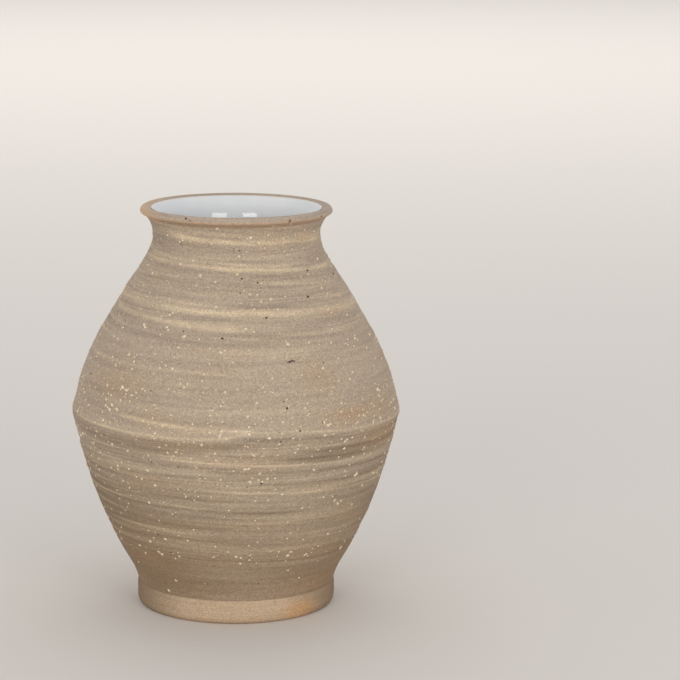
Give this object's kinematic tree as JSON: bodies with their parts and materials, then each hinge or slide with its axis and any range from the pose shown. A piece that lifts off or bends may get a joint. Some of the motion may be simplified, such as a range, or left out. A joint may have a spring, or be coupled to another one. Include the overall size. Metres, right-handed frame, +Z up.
{
  "type": "vase",
  "caption": "Wheel-thrown stoneware vase with a swelling belly, a narrow neck and a flared lip, standing on a turned foot ring and glazed inside to hold water for flowers",
  "frame": {"origin": "centre of the foot ring's resting face, on the pot's axis, at the lowest point", "axes": "+Z up along the pot's axis, +X and +Y level; the pot is a turned form, and the pictured side faces -Y"},
  "size_m": [0.1846, 0.1846, 0.2266],
  "materials": {
    "bare_clay": "unglazed buff stoneware, matt and slightly gritty",
    "lip_clay": "wiped bare stoneware, toasted orange at its edges",
    "sand_slip": "matt sandy grey-brown slip with pale grog and dark iron specks",
    "white_glaze": "glossy white glaze"
  },
  "bodies": {
    "root": {"foot_ring": "bare_clay", "lower_body": "bare_clay", "upper_body": "bare_clay", "neck_collar": "lip_clay", "slip_coat": "sand_slip", "inner_glaze": "white_glaze"}
  },
  "joints": []
}
